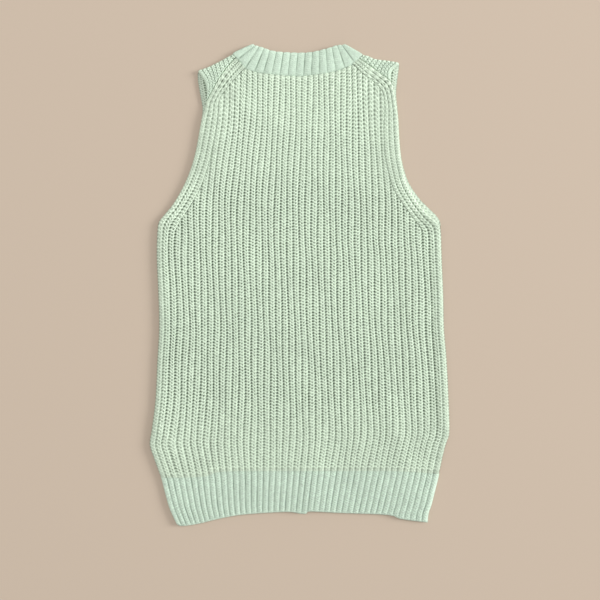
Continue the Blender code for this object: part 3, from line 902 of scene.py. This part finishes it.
# The armhole side of a wrap bows in by this, easing off over that.
WRAP_BOW, WRAP_BOW_REACH = 5.5, 30.0
WRAP_YARN = knit_material(
    "shoulder_rib_knit",
    base=(0.740, 0.910, 0.730),
    shadow=(0.130, 0.190, 0.125),
    slant=SLANT,
    gaps=Gaps(groove=0.55, gutter=0.5, middle=0.3, crease=0.08),
    fleck=0.5,
    leg=1.0,
)
LEFT_FOLD = (
    Point(-150.5, 316.8),
    Point(-131, 323.8),
    Point(-105, 337.6),
    Point(-99.6, 341),
)
RIGHT_FOLD = (
    Point(147.6, 328.6),
    Point(134, 331),
    Point(112, 334),
    Point(102, 338.2),
    Point(93.8, 340.2),
)
LEFT_SHOULDER_SEAM = (
    Point(-137.5, 272),
    Point(-129.4, 286.5),
    Point(-119.5, 304.5),
    Point(-110.6, 317.5),
    Point(-102, 328),
    Point(-94.5, 336),
)
RIGHT_SHOULDER_SEAM = (
    Point(135.5, 300),
    Point(123, 309.4),
    Point(104.5, 323.5),
    Point(88.8, 334.6),
)


def evenly_along(points, count, spread=1.0):
    """Points on the smooth curve through the given ones: evenly spaced, or spread times as far apart in
    the middle and closer towards both ends by a cubic."""
    fine = through(points, 24)
    gone = np.concatenate([[0], np.cumsum(np.linalg.norm(np.diff(fine, axis=0), axis=1))])
    s = np.linspace(-1, 1, count)
    at = gone[-1] * (0.5 + 0.5 * (spread * s - (spread - 1) * s**3))
    return np.stack([np.interp(at, gone, fine[:, k]) for k in range(2)], -1)


def shoulder_wrap(name, fold, seam):
    """The cloth's middle runs from the fold's lower layer round a half circle and on to the seam, and
    both of its sides are square to that path. turn is the angle round the half circle and share the
    share of the flat run that follows."""
    columns = int(WRAP_RIBS * WRAP_CELLS) + 1
    fold, seam = evenly_along(fold, columns), evenly_along(seam, columns)
    low, high = PANEL_WALL / 2, PANEL_WALL + GAP + PANEL_WALL / 2
    radius = (high - low) / 2
    across = np.gradient(fold, axis=0)
    outward = np.stack([-across[:, 1], across[:, 0]], -1)
    outward /= np.linalg.norm(outward, axis=1)[:, None]
    outward *= np.sign((outward * (fold - seam)).sum(axis=1))[:, None]
    centre = fold - (radius + PANEL_WALL / 2) * outward
    turn = np.linspace(-np.pi / 2, np.pi / 2, WRAP_TURN_ROWS)
    turn = np.append(turn, np.full(WRAP_FLAT_ROWS, np.pi / 2))[:, None]
    share = np.append(np.zeros(WRAP_TURN_ROWS), np.linspace(0, 1, WRAP_FLAT_ROWS + 1)[1:])[:, None]
    round_fold = centre + radius * np.cos(turn)[..., None] * outward
    plan = (1 - share)[..., None] * round_fold + share[..., None] * seam
    inward = (fold[-1] - fold[0]) / np.linalg.norm(fold[-1] - fold[0])
    near_edge = 1 - eased(np.linalg.norm(fold - fold[0], axis=1) / WRAP_BOW_REACH)
    plan = plan + (WRAP_BOW * np.sin(np.pi * share) * near_edge)[..., None] * inward
    level = low + radius * (1 + np.sin(turn))
    level = level + top_layer_rise(plan[..., 0], plan[..., 1]) * np.minimum(1, 3 * share)
    facing = np.dstack([np.cos(turn)[..., None] * outward, np.broadcast_to(np.sin(turn), level.shape)])
    middle = np.dstack([plan, level])
    gone = np.cumsum(np.linalg.norm(np.diff(middle, axis=0, prepend=middle[:1]), axis=-1), axis=0)
    row = gone / COURSE
    rib = np.broadcast_to(np.linspace(0, WRAP_RIBS, columns), row.shape)
    away = np.linalg.norm(plan - plan[:, :1], axis=-1)
    selvedge = 1 - eased((away - 3.5) / 1.5)
    wall = evened(fisherman_relief(rib, row), 0.4, WRAP_WALL)
    wall = evened(wall, SELVEDGE_EVEN * selvedge, WRAP_WALL)
    wall = wall * rolled(away, EDGE_ROLL) * (1 - 0.3 * eased((share - 0.9) / 0.1))
    outer = middle + facing * (wall - PANEL_WALL / 2)[..., None]
    outer[..., 2] = np.maximum(outer[..., 2], 0)
    inner = middle - facing * PANEL_WALL / 2
    values = {"openness": 1 - 0.8 * selvedge, "tone_and_shade": -0.08 * selvedge}
    made = knit_piece(name, outer, inner, np.dstack([rib, row]), values, WRAP_YARN, every=(1, 4))
    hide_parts("front_panel")
    return made


wraps = [
    shoulder_wrap("left_shoulder_wrap", LEFT_FOLD, LEFT_SHOULDER_SEAM),
    shoulder_wrap("right_shoulder_wrap", RIGHT_FOLD, RIGHT_SHOULDER_SEAM),
]

# ---- Neckband ---------------------------------------------------------------------------------------
# One doubled band of smooth rib round the neck, folded along its free edge and linked to both panels. Its
# back half lies uppermost and it turns under at both shoulder folds.

BAND_BLOCK = 11.2
BAND_SPREAD = 1.45
BAND_WALL, BAND_LEAST_WALL = 4.0, 0.4
BAND_SCALLOP = 0.7
BAND_HEIGHT, BAND_COURSE = 34.0, 3.0
BAND_ROWS = 20
BACK_COUNT, FRONT_COUNT, TURN_COUNT = 161, 201, 9
FRONT_EDGE_DEPTH = 68.0
BACK_NECK_EDGE = (
    Point(-66.6, 353.1),
    Point(-54, 349.5),
    Point(-40, 344.8),
    Point(-20, 342.8),
    Point(16, 343.0),
    Point(42, 348.6),
    Point(54, 352.6),
    Point(65.0, 353.6),
)
BAND_YARN = knit_material(
    "doubled_rib_knit",
    base=(0.615, 0.770, 0.630),
    shadow=(0.250, 0.340, 0.255),
    slant=0.8,
    gaps=Gaps(groove=0.0, gutter=0.85, middle=0.0, crease=0.05),
    fleck=0.35,
    leg=0.3,
)


def hanging(start, end, depth, count):
    """A scoop hung from two points, as neck_scoop has it, evenly spaced."""
    s = np.linspace(-1, 1, 401)
    level = np.outer((1 - s) / 2, start) + np.outer((1 + s) / 2, end)
    line = level - np.outer(depth * (1 - np.abs(s) ** SCOOP_POWER), (0, 1))
    gone = np.concatenate([[0], np.cumsum(np.linalg.norm(np.diff(line, axis=0), axis=1))])
    at = np.linspace(0, gone[-1], count)
    return np.stack([np.interp(at, gone, line[:, k]) for k in range(2)], -1)


def band_turn(line, low, high, count):
    """Half turns that carry the band's end from its upper layer round to its lower one, outwards from
    the neck, and the way that the cloth faces on them."""
    run = line[-1] - line[0]
    outward = np.array([-run[1], run[0]]) / np.linalg.norm(run)
    outward = outward * np.sign(outward[0] * line[0, 0])
    angle = np.linspace(np.pi / 2, -np.pi / 2, count)[None, 1:-1, None]
    facing = np.concatenate([np.cos(angle) * outward, np.sin(angle)], axis=-1).repeat(len(line), axis=0)
    level = np.full((len(line), 1), (low + high) / 2)
    return np.hstack([line, level])[:, None] + (high - low) / 2 * facing, facing


def neckband():
    """A ring of points from the seams to the free edge, its rows closer at both: along the back, round
    the right fold, back along the front and round the left fold. Blocks of rib are counted along its
    middle, with a groove between each two and a scallop to each at the free edge."""
    low, high = BAND_WALL / 2, BAND_WALL + GAP + BAND_WALL / 2
    even = np.linspace(0, 1, BAND_ROWS + 1)
    rise = (0.5 * (0.5 - 0.5 * np.cos(np.pi * even)) + 0.5 * even)[:, None, None]
    back_seam = evenly_along(BACK_NECK_SEAM, BACK_COUNT)
    back_edge = evenly_along(BACK_NECK_EDGE, BACK_COUNT, BAND_SPREAD)
    front_seam = hanging(BACK_NECK_SEAM[0], BACK_NECK_SEAM[-1], FRONT_SEAM_DEPTH, FRONT_COUNT)
    front_edge = hanging(BACK_NECK_EDGE[0], BACK_NECK_EDGE[-1], FRONT_EDGE_DEPTH, FRONT_COUNT)
    back_line = (1 - rise) * back_seam + rise * back_edge
    front_line = (1 - rise) * front_seam + rise * front_edge
    back_middle = np.dstack([back_line, high - neck_dip(back_line[..., 0])])
    front_middle = np.dstack([front_line, np.full(front_line.shape[:2], low)])[:, ::-1]
    up, down = np.zeros_like(back_middle), np.zeros_like(front_middle)
    up[..., 2], down[..., 2] = 1, -1
    right_turn, right_facing = band_turn(back_line[:, -1], low, high, TURN_COUNT)
    left_turn, left_facing = band_turn(back_line[:, 0], low, high, TURN_COUNT)
    middle = np.hstack([back_middle, right_turn, front_middle, left_turn[:, ::-1], back_middle[:, :1]])
    facing = np.hstack([up, right_facing, down, left_facing[:, ::-1], up[:, :1]])
    half_way = middle[BAND_ROWS // 2]
    gone = np.cumsum(np.linalg.norm(np.diff(half_way, axis=0, prepend=half_way[:1]), axis=-1))
    blocks = round(gone[-1] / BAND_BLOCK)
    block = np.broadcast_to(gone / gone[-1] * blocks + 0.5, middle.shape[:2])
    share = np.broadcast_to(rise[..., 0], middle.shape[:2])
    course = share * BAND_HEIGHT / BAND_COURSE
    spread = np.abs(2 * (block % 1) - 1)
    groove = np.clip((spread - 0.45) / 0.55, 0, 1) ** 1.5
    scallop = BAND_SCALLOP * (1 - spread**2) * share**6
    middle[:, :BACK_COUNT, 1] += scallop[:, :BACK_COUNT]
    puff = np.sqrt(np.clip(1 - (2 * share - 1) ** 6, 0.12, 1))
    outside = BAND_WALL / 2 * puff * (1 - 0.5 * groove) + 0.1 * np.cos(2 * np.pi * block * 2)
    outside = np.maximum(outside, BAND_LEAST_WALL)
    outer = middle + facing * outside[..., None]
    outer[..., 2] = np.maximum(outer[..., 2], 0)
    inner = middle - facing * (BAND_WALL / 2 * np.maximum(puff, 0.4) - 0.15)[..., None]
    pale = 0.04 * eased((share - 0.85) / 0.1) - 0.14 * (1 - eased(share / 0.07))
    values = {"openness": 0.55 + 0.45 * eased(share / 0.2), "tone_and_shade": pale}
    stitches = np.dstack([block, course])
    made = knit_piece("neckband_knit", outer, inner, stitches, values, BAND_YARN, every=(4, 1), ring=True)
    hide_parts("neckband")
    return made


band = neckband()

# ---- Floor, light and camera ------------------------------------------------------------------------
# A plain pale floor, a soft light overhead, a stronger one low on the right, whose shadow lies along the
# left side, and a soft room. The camera looks straight down on the middle of the vest.

FLOOR_COLOUR = (0.484, 0.397, 0.316, 1.0)
FLOOR_REACH = 8.0


def pale_floor():
    """A square of matt floor about the origin."""
    mesh = bpy.data.meshes.new("floor")
    corners = [(-1, -1, 0), (1, -1, 0), (1, 1, 0), (-1, 1, 0)]
    mesh.from_pydata(FLOOR_REACH * np.array(corners), [], [(0, 1, 2, 3)])
    made = bpy.data.materials.new("pale_floor")
    made.use_nodes = True
    shader = made.node_tree.nodes["Principled BSDF"]
    shader.inputs["Base Color"].default_value = FLOOR_COLOUR
    shader.inputs["Roughness"].default_value = 0.9
    mesh.materials.append(made)
    floor = bpy.data.objects.new("floor", mesh)
    bpy.context.scene.collection.objects.link(floor)


def soft_light(name, place, aim, size, watts):
    """A round lamp, tilted from straight down by its aim's angle and then turned about Z to face it."""
    lamp = bpy.data.lights.new(name, "AREA")
    lamp.shape = "DISK"
    lamp.size = size
    lamp.energy = watts
    made = bpy.data.objects.new(name, lamp)
    made.location = place
    x, y, z = np.array(aim) - np.array(place)
    made.rotation_euler = (np.arctan2(np.hypot(x, y), -z), 0, np.arctan2(-x, y))
    bpy.context.scene.collection.objects.link(made)


def soft_room(strength):
    """An even, slightly warm light from all round."""
    world = bpy.data.worlds.new("soft_room")
    world.use_nodes = True
    world.node_tree.nodes["Background"].inputs["Color"].default_value = (1.0, 0.98, 0.95, 1.0)
    world.node_tree.nodes["Background"].inputs["Strength"].default_value = strength
    bpy.context.scene.world = world


def camera_above(centre, width, lens):
    """A camera straight above, as high as its lens needs to take in this width of floor."""
    seen = bpy.data.cameras.new("camera")
    seen.lens = lens
    made = bpy.data.objects.new("camera", seen)
    made.location = (centre[0], centre[1], width * lens / seen.sensor_width)
    bpy.context.scene.collection.objects.link(made)
    bpy.context.scene.camera = made


pale_floor()
soft_light("ceiling_window", (-1.0, 2.0, 6.0), (0.0, 0.0, 0.0), 2.6, 180)
soft_light("side_window", (8.0, 1.2, 3.3), (0.0, 0.0, 0.0), 3.2, 700)
soft_room(0.52)
camera_above((0.0007, -0.0223), 0.890, 45.0)
bpy.context.scene.view_settings.view_transform = "Standard"
